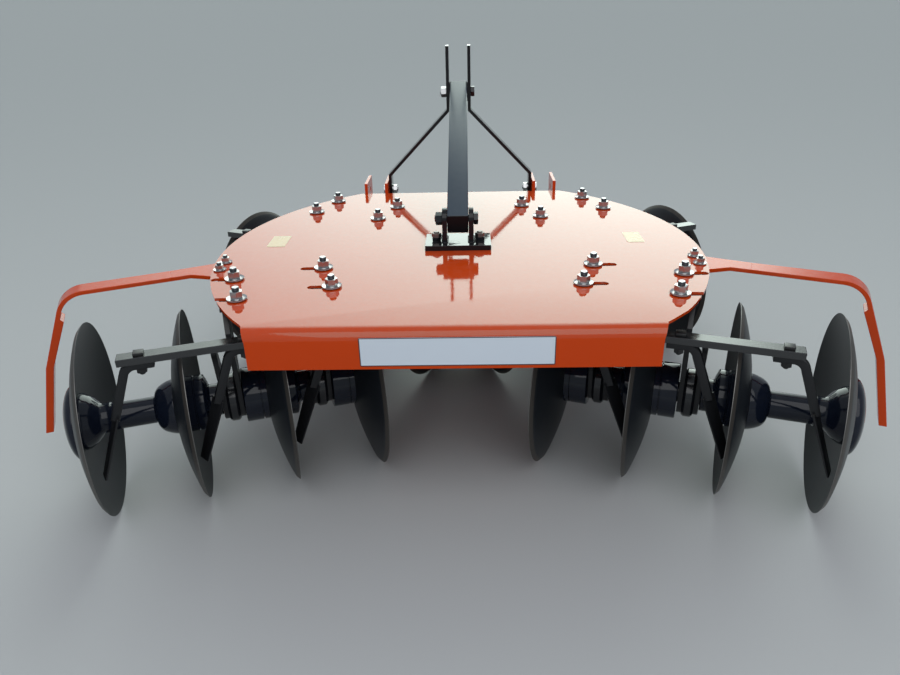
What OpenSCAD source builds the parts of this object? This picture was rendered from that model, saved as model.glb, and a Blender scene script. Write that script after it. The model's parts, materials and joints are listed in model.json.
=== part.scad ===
// Three-point mounted tandem disc harrow.
// X is to the right, Y is the way it travels, Z is up.
// The origin is on the ground under the middle of the machine.

/* [Discs] */
// Diameter of a disc
disc_d = 560; // [500:10:600]
// Depth of a disc's dish
dish = 62; // [50:1:70]
// Thickness of a disc
disc_t = 6; // [4:0.5:7]
// Distance from one disc to the next along a gang
pitch = 260; // [256:1:264]

/* [Gangs] */
// Turn of a rear gang from square across
rear_turn = 18.5; // [16:0.5:20]
// Turn of a front gang from square across
front_turn = 21.5; // [20:0.5:22]
// Place across of a rear gang's outer disc
rear_x = 1025; // [1020:5:1040]
// Place across of a front gang's outer disc
front_x = 840; // [838:1:844]
// Half of the machine's length over the outer discs
reach = 810; // [805:1:815]
// Side of the square gang axle
axle_w = 30; // [28:1:32]
// Radius of a spool's tube
spool_r = 39; // [36:1:44]
// Radius of a spool's flared end
bell_r = 82; // [78:1:84]
// Radius of a flared end's neck
bell_neck_r = 43; // [42:1:48]
// Radius of the closed bell on a rear gang
rear_bell_r = 106; // [100:2:112]
// Radius of the closed bell on a front gang
front_bell_r = 76; // [70:2:80]
// Height of the closed bell on a rear gang
rear_bell_h = 30; // [26:1:40]
// Height of the closed bell on a front gang
front_bell_h = 14; // [10:1:16]

/* [Hangers and scrapers] */
// Thickness of a hanger's plates
hanger_t = 14; // [12:1:15]
// Distance between the two bolts of a hanger
bolt_gap = 158; // [150:2:166]
// Length of a bearing between its hanger plates
bearing_l = 32; // [30:1:40]
// Radius of a bearing housing
bearing_r = 72; // [66:1:76]
// Radius of the journal that turns in a bearing
journal_r = 32; // [30:1:36]
// Width of the scraper beam
beam_w = 42; // [40:1:46]
// Thickness of the scraper beam
beam_t = 20; // [18:1:22]
// Height of the scraper beam's top
beam_z = 547; // [546:1:552]
// Distance of the scraper beam's middle behind the gang
beam_n = 178; // [176:1:184]
// Thickness of a scraper's foot
scraper_t = 18; // [14:1:20]
// Turn of a scraper's blade from square to the gang
blade_turn = 40; // [30:1:45]

/* [Deck] */
// Height of the deck's top
deck_z = 620; // [616:1:626]
// Thickness of the deck plate
deck_t = 8; // [6:1:10]
// Length of the deck
deck_l = 1300; // [1280:10:1320]
// How far the deck's middle is behind the machine's middle
deck_back = 41; // [36:1:46]
// Radius of the deck's curved sides
deck_side_r = 850; // [840:5:860]
// Half of the deck's greatest width
deck_half = 760; // [750:5:770]
// How far the widest place is behind the deck's middle
deck_wide_back = 44; // [40:1:50]
// Height of the folded skirt at the rear
skirt_h = 108; // [100:2:112]
// Outer radius of the skirt's fold
fold_r = 18; // [12:1:24]

/* [Mast and hitch] */
// Width of the square mast strut
strut_w = 62; // [60:1:66]
// Height of the strut's lower pin
strut_low_z = 707; // [700:1:715]
// Height of the strut's upper pin
strut_top_z = 1000; // [990:2:1010]
// Thickness of the A-frame's flat bars
bar_t = 12; // [10:1:14]
// Width of the A-frame's flat bars
bar_w = 60; // [50:2:70]
// Height of the A-frame's top
bar_top_z = 1170; // [1150:5:1180]
// Half of the distance between the lower links
link_half = 341; // [341:0.5:342]
// Height of the lower link holes
link_z = 615; // [610:1:620]
// Distance of the lower link holes ahead of the deck
link_ahead = 90; // [85:1:95]
// Diameter of a lower link hole
link_pin_d = 22; // [21.5:0.1:22]
// Diameter of a top link hole
top_hole_d = 19.5; // [19.5:0.5:25.5]

/* [Guards] */
// Width of a guard's flat bar
guard_w = 64; // [56:2:66]
// Thickness of a guard's arm
guard_t = 12; // [8:1:14]
// Turn of a guard's arm to the rear
guard_turn = 23.5; // [22:0.5:25]
// Height of a guard's leg from its foot to the arm's top
guard_leg = 434; // [420:2:450]
// Height from a guard leg's knee to the arm's top
guard_knee = 222; // [200:2:240]
// Splay of a guard's leg from upright, above its knee
guard_splay = 22; // [20:0.5:23]
// Splay of a guard's leg below its knee
guard_toe = 13.5; // [12:0.5:15]
// Thickness of a guard's leg
guard_leg_t = 20; // [16:1:24]

/* [Hidden] */
$fn = 64;
disc_r = disc_d / 2;
hub_in = dish - disc_t;
dish_r = (disc_r * disc_r + hub_in * hub_in) / (2 * hub_in);
axis_z = disc_r;
axle_clear = 0.2;
disc_edge = 1.5;
under = deck_z - deck_t;
deck_rear = -deck_back - deck_l / 2;
deck_front = -deck_back + deck_l / 2;
link_y = deck_front + link_ahead;
mast_y = -46;
strut_slope = atan((strut_top_z - strut_low_z) / (link_y - mast_y));
rear_y = -reach + disc_r * cos(rear_turn) + disc_edge * sin(rear_turn);
front_y = reach - disc_r * cos(front_turn);
// A hanger's places along the gang from the middle of its gap between two discs
hanger_mid = -27;
hanger_bolt = 32;
hanger_half = bearing_l / 2 + hanger_t;
flange_t = 10;
scraper_x = 135;
scraper_foot = 50;
scraper_bend_r = 25;
scraper_lean = 20;
scraper_w = 26;
arm_more = 5;
scraper_arm_l = 133;
scraper_l = 318;
blade_t = 6;
blade_w = 44;
beam_from = 107;
beam_l = 652;
beam_front = beam_n - beam_w / 2;
bolt_d = 24;
small_bolt_d = 16;
running = 0.05;
slide_gap = 0.1;

// Columns of a gang: place across and along of its middle, the way its local X points,
// 1 if flipped, the gaps that hold bearings, height and radius of its closed bell
REAR = 0;
FRONT = 1;
GANGS = [
    [rear_x - 1.5 * pitch * cos(rear_turn), rear_y + 1.5 * pitch * sin(rear_turn), 180 - rear_turn, 0,
        [0, 1], rear_bell_h, rear_bell_r],
    [front_x - 1.5 * pitch * cos(front_turn), front_y - 1.5 * pitch * sin(front_turn), front_turn, 1,
        [-1, 0], front_bell_h, front_bell_r]
];
function bearing_gaps(row) = GANGS[row][4];
function bell_h(row) = GANGS[row][5];
function end_r(row) = GANGS[row][6];
DISCS = [-1.5, -0.5, 0.5, 1.5];
SCRAPED = [-1.5, -0.5, 0.5];

LEFT = -1;
RIGHT = 1;
module on_side(side) {
    mirror([side < 0 ? 1 : 0, 0, 0]) children();
}

// A gang's own frame: X along its axis the way the discs face, Y to the rear, Z up
module at_gang(row, side) {
    on_side(side) translate([GANGS[row][0], GANGS[row][1], 0])
        rotate(GANGS[row][2]) mirror([0, GANGS[row][3], 0]) children();
}

// A solid of revolution about the gang's axis, from points of place along it and radius
module turned(points) {
    translate([0, 0, axis_z]) rotate([0, 90, 0])
        rotate_extrude($fn = 96) polygon([for (p = points) [p[1], p[0]]]);
}

// A square bar along the gang's axis
module square_bar(from, to, w) {
    translate([from, -w / 2, axis_z - w / 2]) cube([to - from, w, w]);
}

// Place along the axis of a disc's hollow face and of its bulging back, at a radius
function hollow(r) = dish_r - hub_in - sqrt(dish_r * dish_r - r * r);
function back(r) = dish_r - hub_in - sqrt((dish_r + disc_t) * (dish_r + disc_t) - r * r);

module disc() {
    difference() {
        turned(concat([for (r = [0:35:245]) [hollow(r), r]],
            [[0, disc_r], [-disc_edge, disc_r], [back(disc_r - 20), disc_r - 20]],
            [for (r = [245:-35:0]) [back(r), r]]));
        square_bar(-dish - 1, 1, axle_w + 2 * axle_clear);
    }
}

module discs(row, side) {
    color([0.2, 0.21, 0.22]) at_gang(row, side)
        for (i = DISCS) translate([i * pitch, 0, 0]) disc();
}

// A flared spool end against a disc's hollow face, domed down to its neck
function dome() = [[hollow(0) + 0.5, 0], [hollow(bell_r) + 0.5, bell_r], [-42, bell_r - 1], [-32, bell_r - 7],
    [-20, bell_r - 15], [-9, bell_r - 27], [0, bell_r - 36], [4, bell_neck_r]];

// A domed end and then the tube as far as to
module spool_out(to, end_r) {
    turned(concat(dome(), [[26, bell_neck_r], [30, end_r], [to, end_r], [to, 0]]));
}

// Where a spool's mouth meets the next disc's back, and the points from its rim to the axis
mouth = pitch + back(bell_r) - 0.5;
function seat() = [[mouth, bell_r], [pitch + back(bell_r / 2) - 0.5, bell_r / 2], [pitch + back(0) - 0.5, 0]];

// A flared spool end against the next disc's back, rounded out like a bell, from the tube at from
module spool_in(from) {
    turned(concat([[from, 0], [from, spool_r], [mouth - 54, spool_r], [mouth - 51, bell_neck_r + 8],
        [mouth - 44, bell_r - 21], [mouth - 33, bell_r - 14], [mouth - 20, bell_r - 8],
        [mouth - 8, bell_r - 3]], seat()));
}

// A stout spool end between a bearing and the next disc's back, with a joint around it
module stout_in(from) {
    turned(concat([[from, 0], [from, bell_r - 3], [from + 3, bell_r], [mouth - 19, bell_r],
        [mouth - 19, bell_r - 5], [mouth - 15, bell_r - 5], [mouth - 15, bell_r]], seat()));
}

module spools(row, side) {
    gaps = bearing_gaps(row);
    mid = pitch / 2 + hanger_mid;
    color([0.06, 0.07, 0.1]) at_gang(row, side) difference() {
        union() {
            for (i = [-1, 0, 1]) translate([(i - 0.5) * pitch, 0, 0])
                if (i == gaps[0] || i == gaps[1]) {
                    spool_out(mid - hanger_half - 2, 48);
                    stout_in(mid + hanger_half + 2);
                    turned([[mid - hanger_half - 2, 0], [mid - hanger_half - 2, journal_r],
                        [mid + hanger_half + 2, journal_r], [mid + hanger_half + 2, 0]]);
                } else {
                    spool_out(mid, spool_r);
                    spool_in(mid);
                }
            translate([1.5 * pitch, 0, 0]) turned(concat(dome(), [[10, bell_neck_r], [10, 0]]));
            translate([-1.5 * pitch, 0, 0]) end_bell(bell_h(row), end_r(row));
        }
        square_bar(-1.5 * pitch - dish - 12, 2 * pitch, axle_w + 2 * axle_clear);
    }
}

// The closed bell against the back of a gang's first disc
module end_bell(h, r) {
    turned(concat([for (a = [0:15:75]) [back(r) - 8 - h * cos(a), r * sin(a)]],
        [[back(r) - 8, r], [back(r) - 0.5, r], [back(r / 2) - 0.5, r / 2], [back(0) - 0.5, 0]]));
}

module axle(row, side) {
    color([0.3, 0.3, 0.32]) at_gang(row, side) {
        square_bar(-1.5 * pitch - dish - 11, 1.5 * pitch + 45, axle_w);
        translate([1.5 * pitch + 10.2, 0, axis_z]) rotate([0, 90, 0]) cylinder(h = 26, r = 30, $fn = 6);
    }
}

// The main plate's side view, X up and Y to the rear, from the deck down around the bearing
module hanger_plate() {
    difference() {
        union() {
            polygon([[under - flange_t, -84], [under - flange_t, 112], [beam_z + 10, beam_front],
                [beam_z - 46, beam_front], [axis_z + 60, 62], [axis_z, 62], [axis_z, -62],
                [axis_z + 120, -60]]);
            translate([axis_z, 0]) circle(r = 62);
        }
        translate([axis_z, 0]) circle(r = journal_r + 6);
    }
}

// The second plate, which clasps the bearing's other end from under the beam
module clasp_plate() {
    difference() {
        union() {
            polygon([[beam_z - 22, beam_front - 36], [beam_z - 22, beam_front], [beam_z - 46, beam_front],
                [axis_z + 60, 62], [axis_z, 62], [axis_z, -62], [axis_z + 60, -50]]);
            translate([axis_z, 0]) circle(r = 62);
        }
        translate([axis_z, 0]) circle(r = journal_r + 6);
    }
}

// A row's hangers, of which the rear ones slide under the deck
module hangers(row, side) {
    outer = hanger_mid - hanger_half;
    inner = hanger_mid + hanger_half - hanger_t;
    color([0.09, 0.09, 0.1]) at_gang(row, side) translate([0, 0, row == REAR ? -slide_gap : 0])
        for (g = bearing_gaps(row)) translate([g * pitch, 0, 0]) {
            translate([inner + hanger_t, 0, 0]) rotate([0, -90, 0]) linear_extrude(hanger_t) hanger_plate();
            translate([outer + hanger_t, 0, 0]) rotate([0, -90, 0]) linear_extrude(hanger_t) clasp_plate();
            translate([outer, beam_front - 36, beam_z - 34]) cube([2 * hanger_half, 36, 12]);
            difference() {
                translate([inner - 6, -110, under - flange_t])
                    cube([hanger_bolt + 30 - inner + 6, 222, flange_t]);
                for (y = [-1, 1]) translate([hanger_bolt, y * bolt_gap / 2, under - flange_t - 1])
                    cylinder(h = flange_t + 2, d = bolt_d + 1);
            }
        }
}

module bearings(row, side) {
    color([0.08, 0.08, 0.09]) at_gang(row, side)
        for (g = bearing_gaps(row)) translate([g * pitch + hanger_mid, 0, 0]) difference() {
            turned([[-bearing_l / 2, 0], [-bearing_l / 2, bearing_r - 6], [-bearing_l / 2 + 6, bearing_r],
                [bearing_l / 2 - 6, bearing_r], [bearing_l / 2, bearing_r - 6], [bearing_l / 2, 0]]);
            translate([-bearing_l, 0, axis_z]) rotate([0, 90, 0])
                cylinder(h = 2 * bearing_l, r = journal_r + running);
        }
}

module beam(row, side) {
    from = -1.5 * pitch + beam_from;
    color([0.12, 0.12, 0.13]) at_gang(row, side)
        translate([from, beam_n - beam_w / 2, beam_z - beam_t]) cube([beam_l, beam_w, beam_t]);
}

// Points of a bend about a centre, from one angle to another, its radius growing by more on the way
function bend(x, y, r, from, to, more = 0) =
    [for (i = [0:8]) let (a = from + (to - from) * i / 8) [x + (r + more * i / 8) * cos(a),
        y + (r + more * i / 8) * sin(a)]];

// A scraper's side view about the middle of its bend: the foot under the beam, the bend, where it
// grows thicker, and the leaning arm
module scraper_outline() {
    out = scraper_bend_r + scraper_t;
    down = [-sin(scraper_lean), -cos(scraper_lean)] * scraper_arm_l;
    outer = bend(0, 0, out, 90, 180 - scraper_lean);
    inner = bend(0, 0, scraper_bend_r - arm_more, 180 - scraper_lean, 90, arm_more);
    polygon(concat([[scraper_foot, out]], outer, [outer[8] + down, inner[0] + down], inner,
        [[scraper_foot, scraper_bend_r]]));
}

module scraper() {
    out = scraper_bend_r + scraper_t;
    translate([scraper_x, beam_n, beam_z - beam_t - out]) {
        rotate([90, 0, 0]) translate([0, 0, -scraper_w / 2]) linear_extrude(scraper_w) scraper_outline();
        rotate([0, scraper_lean, 0]) translate([-out + (scraper_t + arm_more) / 2, 0, -scraper_l])
            rotate(-blade_turn) translate([-blade_t / 2, -blade_w / 2, 0])
                cube([blade_t, blade_w, scraper_l - scraper_arm_l + 10]);
    }
}

module scrapers(row, side) {
    color([0.15, 0.15, 0.16]) at_gang(row, side)
        for (i = SCRAPED) translate([i * pitch, 0, 0]) scraper();
}

// A deck bolt of a hanger: head below, washer, nut and stud end above
module deck_bolt(d, below) {
    translate([0, 0, deck_z + 0.1]) cylinder(h = d * 0.17, d = d * 2.65);
    translate([0, 0, deck_z + d * 0.16]) cylinder(h = d * 0.21, d = d * 1.6);
    translate([0, 0, deck_z + d * 0.36]) cylinder(h = d * 0.9, d = d * 1.73, $fn = 6);
    translate([0, 0, below - d * 0.6]) cylinder(h = deck_z - below + d * 2.4, d = d);
    translate([0, 0, below - d * 0.6 - 0.1]) cylinder(h = d * 0.6, d = d * 1.73, $fn = 6);
}

module hanger_bolts(row, side) {
    at_gang(row, side) for (g = bearing_gaps(row), y = [-1, 1])
        translate([g * pitch + hanger_bolt, y * bolt_gap / 2, 0]) deck_bolt(bolt_d, under - flange_t);
}

module rear_bolts(side) {
    color([0.75, 0.76, 0.78]) hanger_bolts(REAR, side);
}

// Where a guard's arm and leg would meet, and the radius of their bend
guard_x = 1145;
guard_y = -382;
guard_bend_r = 42;
guard_joint = 76;

// The two small bolts of a guard, place across and along
GUARD_BOLTS = [[719, -191], [718, -256]];
BASE_BOLTS = [[-70, mast_y], [70, mast_y]];
base_t = 12;

module deck_bolts() {
    color([0.75, 0.76, 0.78]) for (side = [LEFT, RIGHT]) {
        hanger_bolts(FRONT, side);
        on_side(side) for (p = GUARD_BOLTS) translate(p) deck_bolt(small_bolt_d, under - guard_t);
    }
    color([0.3, 0.3, 0.32]) for (p = BASE_BOLTS) translate(p) {
        translate([0, 0, deck_z + base_t + 0.1]) cylinder(h = 26, d = 31, $fn = 6);
        translate([0, 0, under - 12]) cylinder(h = deck_t + base_t + 44, d = 18);
        translate([0, 0, under - 12.1]) cylinder(h = 12, d = 30, $fn = 6);
    }
}

// The deck's outline, with its curved sides
module deck_outline() {
    intersection() {
        for_side_circles();
        translate([-deck_half, deck_rear + fold_r]) square([2 * deck_half, deck_l - fold_r]);
    }
}

module for_side_circles() {
    intersection() {
        translate([deck_side_r - deck_half, -deck_back - deck_wide_back]) circle(r = deck_side_r, $fn = 180);
        translate([deck_half - deck_side_r, -deck_back - deck_wide_back]) circle(r = deck_side_r, $fn = 180);
    }
}

skirt_half = 524;
slot_l = 58;

module deck() {
    color([0.85, 0.25, 0.08]) difference() {
        union() {
            translate([0, 0, under]) linear_extrude(deck_t) deck_outline();
            translate([-skirt_half, deck_rear, deck_z - skirt_h])
                cube([2 * skirt_half, deck_t, skirt_h - fold_r]);
            translate([-skirt_half, deck_rear + fold_r, deck_z - fold_r]) rotate([0, 90, 0])
                rotate(180) difference() {
                    linear_extrude(2 * skirt_half) intersection() {
                        circle(r = fold_r);
                        square(fold_r);
                    }
                    translate([0, 0, -1]) cylinder(h = 2 * skirt_half + 2, r = fold_r - deck_t);
                }
        }
        for (side = [LEFT, RIGHT]) {
            for (g = bearing_gaps(FRONT), y = [-1, 1]) at_gang(FRONT, side)
                translate([g * pitch + hanger_bolt, y * bolt_gap / 2, under - 1])
                    cylinder(h = deck_t + 2, d = bolt_d + 1);
            for (g = bearing_gaps(REAR), y = [-1, 1]) slot_hole(g, y, side);
            on_side(side) for (p = GUARD_BOLTS) translate([p[0], p[1], under - 1])
                cylinder(h = deck_t + 2, d = small_bolt_d + 1);
        }
        for (p = BASE_BOLTS) translate([p[0], p[1], under - 1]) cylinder(h = deck_t + 2, d = 19);
    }
}

// A slot that lets a rear gang slide out along X
function gang_point(row, x, y) = let (a = GANGS[row][2])
    [GANGS[row][0] + x * cos(a) - y * sin(a), GANGS[row][1] + x * sin(a) + y * cos(a)];
module slot_hole(g, y, side) {
    p = gang_point(REAR, g * pitch + hanger_bolt, y * bolt_gap / 2);
    on_side(side) translate([p[0], p[1], under - 1]) {
        cylinder(h = deck_t + 2, d = bolt_d + 1);
        translate([0, -bolt_d / 2 - 0.5, 0]) cube([slot_l, bolt_d + 1, deck_t + 2]);
        translate([slot_l, 0, 0]) cylinder(h = deck_t + 2, d = bolt_d + 1);
    }
}

clevis_half = strut_w / 2 + 1;
clevis_t = 18;
cross_bolt_d = 24;

module mast_base() {
    color([0.12, 0.12, 0.14]) {
        difference() {
            translate([-105, mast_y - 61, deck_z]) cube([210, 122, base_t]);
            for (p = BASE_BOLTS) translate([p[0], p[1], deck_z - 1]) cylinder(h = base_t + 2, d = 19);
        }
        for (side = [LEFT, RIGHT]) on_side(side) difference() {
            translate([clevis_half, mast_y, 0]) rotate([90, 0, 90]) linear_extrude(clevis_t) union() {
                translate([-34, deck_z + base_t]) square([68, strut_low_z - deck_z - base_t]);
                translate([0, strut_low_z]) circle(r = 34);
            }
            translate([0, mast_y, strut_low_z]) rotate([0, 90, 0]) cylinder(h = 100, d = cross_bolt_d + 1);
        }
    }
}

module mast_strut() {
    run = norm([link_y - mast_y, strut_top_z - strut_low_z]);
    color([0.33, 0.37, 0.42]) translate([0, mast_y, strut_low_z]) rotate([strut_slope, 0, 0]) difference() {
        union() {
            translate([-strut_w / 2, -30, -strut_w / 2]) cube([strut_w, run + 54, strut_w]);
            translate([0.1 - bar_half, run - 28, -28]) cube([2 * bar_half - 0.2, 52, 56]);
        }
        for (y = [0, run]) translate([-50, y, 0]) rotate([0, 90, 0]) cylinder(h = 100, d = cross_bolt_d + 1);
    }
}

module strut_bolts() {
    color([0.3, 0.3, 0.32]) {
        translate([0, mast_y, strut_low_z]) cross_bolt(clevis_half + clevis_t);
        translate([0, link_y, strut_top_z]) cross_bolt(bar_half + bar_t);
    }
}

// A bolt across the machine, its head and nut outside the plates that it holds
module cross_bolt(half) {
    translate([-half - 26, 0, 0]) rotate([0, 90, 0]) cylinder(h = 2 * half + 36, d = cross_bolt_d);
    translate([-half - 21.1, 0, 0]) rotate([0, 90, 0]) cylinder(h = 21, d = cross_bolt_d * 1.73, $fn = 6);
    translate([half + 0.1, 0, 0]) rotate([0, 90, 0]) cylinder(h = 15, d = cross_bolt_d * 1.73, $fn = 6);
}

bar_half = 36;
bar_foot_x = 281.9;
bar_knee_z = 676;
bar_neck_z = 930;

// The front view of the right A-frame bar, as a band of the bar's thickness
module bar_band() {
    slope = atan2(bar_neck_z - bar_knee_z, bar_foot_x - bar_half);
    step = bar_t * tan((90 - slope) / 2);
    polygon([[bar_foot_x, link_z - 30], [bar_foot_x, bar_knee_z], [bar_half, bar_neck_z],
        [bar_half, bar_top_z], [bar_half + bar_t, bar_top_z], [bar_half + bar_t, bar_neck_z + step],
        [bar_foot_x + bar_t, bar_knee_z + step], [bar_foot_x + bar_t, link_z - 30]]);
}

module a_bar(side) {
    color([0.08, 0.08, 0.09]) on_side(side) difference() {
        translate([0, link_y + bar_w / 2, 0]) rotate([90, 0, 0]) linear_extrude(bar_w) bar_band();
        translate([0, link_y, strut_top_z]) rotate([0, 90, 0]) cylinder(h = 100, d = cross_bolt_d + 1);
        for (z = [1075, 1140]) translate([0, link_y, z]) rotate([0, 90, 0]) cylinder(h = 100, d = top_hole_d);
        translate([200, link_y, link_z]) rotate([0, 90, 0]) cylinder(h = 200, d = link_hole_d);
    }
}

bracket_t = 12;
bracket_gap = 70;

module bracket_outline() {
    polygon([[-80, under], [-80, under - 60], [60, under - 60], [150, link_z - 40], [150, link_z + 45],
        [0, link_z + 45], [0, under]]);
}

link_hole_d = link_pin_d + 1;

module hitch_bracket(side) {
    color([0.85, 0.25, 0.08]) on_side(side) difference() {
        union() {
            for (x = [link_half - bracket_gap / 2 - bracket_t, link_half + bracket_gap / 2])
                translate([x, deck_front, 0]) rotate([90, 0, 90]) linear_extrude(bracket_t) bracket_outline();
            translate([link_half - bracket_gap / 2, deck_front - 60, under - 58]) cube([bracket_gap, 12, 58]);
        }
        translate([200, link_y, link_z]) rotate([0, 90, 0]) cylinder(h = 300, d = link_hole_d);
    }
}

// The bolt of an A-frame foot through the inner plate of its bracket
module hitch_bolt(side) {
    inner = link_half - bracket_gap / 2;
    color([0.75, 0.76, 0.78]) on_side(side) translate([0, link_y, link_z]) rotate([0, 90, 0]) {
        translate([0, 0, bar_foot_x - 22]) cylinder(h = inner + 2 - bar_foot_x + 22, d = link_pin_d);
        translate([0, 0, bar_foot_x - 18.1]) cylinder(h = 18, d = 38, $fn = 6);
        translate([0, 0, inner + 0.1]) cylinder(h = 13, d = 38, $fn = 6);
    }
}

// A guard's own frame: the corner of its arm and leg at the origin, X along the arm
module at_guard(side) {
    on_side(side) translate([guard_x, guard_y, under]) rotate(-guard_turn) children();
}

// A guard's side view: the arm, the bend, and the leg, which is thicker below its joint and less
// splayed below its knee
module guard_outline() {
    corner = -guard_bend_r * tan((90 - guard_splay) / 2);
    knee = [guard_knee * tan(guard_splay), -guard_knee];
    foot = knee + [tan(guard_toe), -1] * (guard_leg - guard_knee);
    joint = [guard_joint * tan(guard_splay), -guard_joint];
    thin = [-guard_t / cos(guard_splay), 0];
    thick = [-guard_leg_t / cos(guard_splay), 0];
    polygon(concat([[-301, 0]], bend(corner, -guard_bend_r, guard_bend_r, 90, guard_splay),
        [knee, foot, foot + thick, knee + thick, joint + thick, joint + thin],
        bend(corner, -guard_bend_r, guard_bend_r - guard_t, guard_splay, 90), [[-301, -guard_t]]));
}

// The arm's root, a shaped plate under the deck
module guard_root() {
    linear_extrude(guard_t) polygon([[-490, -40], [-458, -guard_w / 2 - 66], [-426, -guard_w / 2 - 50],
        [-356, -guard_w / 2], [-300, -guard_w / 2], [-300, guard_w / 2], [-460, guard_w / 2 + 8],
        [-490, guard_w / 2 + 8]]);
}

module guard(side) {
    color([0.8, 0.22, 0.08]) difference() {
        at_guard(side) {
            translate([0, 0, -guard_t]) guard_root();
            rotate([90, 0, 0]) translate([0, 0, -guard_w / 2]) linear_extrude(guard_w) guard_outline();
        }
        on_side(side) for (p = GUARD_BOLTS) translate([p[0], p[1], under - 30])
            cylinder(h = 40, d = small_bolt_d + 1);
    }
}

deck();
mast_base();
mast_strut();
strut_bolts();
a_bar(LEFT);  // a_bar_left
a_bar(RIGHT);  // a_bar_right
hitch_bracket(LEFT);  // hitch_bracket_left
hitch_bracket(RIGHT);  // hitch_bracket_right
hitch_bolt(LEFT);  // hitch_bolt_left
hitch_bolt(RIGHT);  // hitch_bolt_right
guard(LEFT);  // guard_left
guard(RIGHT);  // guard_right
deck_bolts();
hangers(FRONT, LEFT);  // front_hangers_left
hangers(FRONT, RIGHT);  // front_hangers_right
bearings(FRONT, LEFT);  // front_bearings_left
bearings(FRONT, RIGHT);  // front_bearings_right
beam(FRONT, LEFT);  // front_beam_left
beam(FRONT, RIGHT);  // front_beam_right
scrapers(FRONT, LEFT);  // front_scrapers_left
scrapers(FRONT, RIGHT);  // front_scrapers_right
hangers(REAR, LEFT);  // rear_hangers_left
hangers(REAR, RIGHT);  // rear_hangers_right
bearings(REAR, LEFT);  // rear_bearings_left
bearings(REAR, RIGHT);  // rear_bearings_right
beam(REAR, LEFT);  // rear_beam_left
beam(REAR, RIGHT);  // rear_beam_right
scrapers(REAR, LEFT);  // rear_scrapers_left
scrapers(REAR, RIGHT);  // rear_scrapers_right
rear_bolts(LEFT);  // rear_bolts_left
rear_bolts(RIGHT);  // rear_bolts_right
discs(FRONT, LEFT);  // front_discs_left
discs(FRONT, RIGHT);  // front_discs_right
spools(FRONT, LEFT);  // front_spools_left
spools(FRONT, RIGHT);  // front_spools_right
axle(FRONT, LEFT);  // front_axle_left
axle(FRONT, RIGHT);  // front_axle_right
discs(REAR, LEFT);  // rear_discs_left
discs(REAR, RIGHT);  // rear_discs_right
spools(REAR, LEFT);  // rear_spools_left
spools(REAR, RIGHT);  // rear_spools_right
axle(REAR, LEFT);  // rear_axle_left
axle(REAR, RIGHT);  // rear_axle_right
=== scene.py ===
# A three-point mounted tandem disc harrow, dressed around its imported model.
# Metres. X is to the right, Y is the way it travels, Z is up, and the ground is at zero.
import json
import math
import random

import bmesh
import bpy
from mathutils import Matrix, Vector


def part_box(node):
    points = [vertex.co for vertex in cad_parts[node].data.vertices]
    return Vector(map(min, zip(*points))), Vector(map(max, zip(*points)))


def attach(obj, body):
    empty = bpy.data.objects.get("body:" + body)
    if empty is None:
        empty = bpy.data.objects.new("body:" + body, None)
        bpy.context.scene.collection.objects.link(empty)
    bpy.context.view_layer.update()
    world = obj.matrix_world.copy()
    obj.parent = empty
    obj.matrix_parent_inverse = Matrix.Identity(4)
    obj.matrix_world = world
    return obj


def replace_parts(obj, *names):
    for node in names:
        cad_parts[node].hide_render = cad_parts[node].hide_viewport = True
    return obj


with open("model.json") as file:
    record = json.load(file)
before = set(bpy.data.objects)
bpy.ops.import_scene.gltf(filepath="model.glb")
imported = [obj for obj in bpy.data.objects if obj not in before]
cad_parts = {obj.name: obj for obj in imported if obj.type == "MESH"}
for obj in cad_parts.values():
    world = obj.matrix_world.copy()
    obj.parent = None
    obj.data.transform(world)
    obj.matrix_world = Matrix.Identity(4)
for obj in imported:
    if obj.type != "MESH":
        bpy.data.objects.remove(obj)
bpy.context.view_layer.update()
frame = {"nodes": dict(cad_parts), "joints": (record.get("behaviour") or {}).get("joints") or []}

# The camera stands behind the harrow, 1.37 m above the ground, and looks down on the deck.
# It is turned a little to the left and isn't quite level.
QUARTER = math.radians(90)
EYE = Vector((0.0354, -2.267, 1.3746))
LOOK_DOWN = math.radians(26.19)
LOOK_LEFT = math.radians(1.81)
OFF_LEVEL = math.radians(-1.45)
FOCAL_PIXELS = 714.2
PHOTO_WIDTH = 900

camera = bpy.data.objects.new("camera", bpy.data.cameras.new("camera"))
bpy.context.scene.collection.objects.link(camera)
camera.data.sensor_fit = "HORIZONTAL"
camera.data.sensor_width = 36
camera.data.lens = FOCAL_PIXELS / PHOTO_WIDTH * camera.data.sensor_width
camera.data.clip_end = 1000
camera.matrix_world = (
    Matrix.Translation(EYE)
    @ Matrix.Rotation(LOOK_LEFT, 4, "Z")
    @ Matrix.Rotation(QUARTER - LOOK_DOWN, 4, "X")
    @ Matrix.Rotation(OFF_LEVEL, 4, "Z")
)
bpy.context.scene.camera = camera
bpy.context.scene.view_settings.view_transform = "Standard"

# The studio: an even pale sky with a wide glow low ahead of the harrow, and a soft lamp behind the camera.
# The glow is what the glossy deck mirrors towards the camera, as it mirrors a bright horizon outdoors.
SKY_COLOR = (0.42, 0.46, 0.50, 1)
GLOW_COLOR = (3.35, 3.85, 3.6, 1)
GLOW_AIM = Vector((0.26, 0.91, 0.33))
GLOW_EDGE = math.cos(math.radians(50))
GLOW_END = math.radians(25.5)
GLOW_END_SOFT = 0.08
LAMP_PLACE = (0.6, -4.0, 4.7)
LAMP_WATTS = 122
LAMP_SIZE = 5.0


def node_of(tree, kind, **values):
    """Adds a node to a tree and sets its input sockets by name."""
    made = tree.nodes.new(kind)
    for key, value in values.items():
        made.inputs[key.replace("_", " ")].default_value = value
    return made


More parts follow.
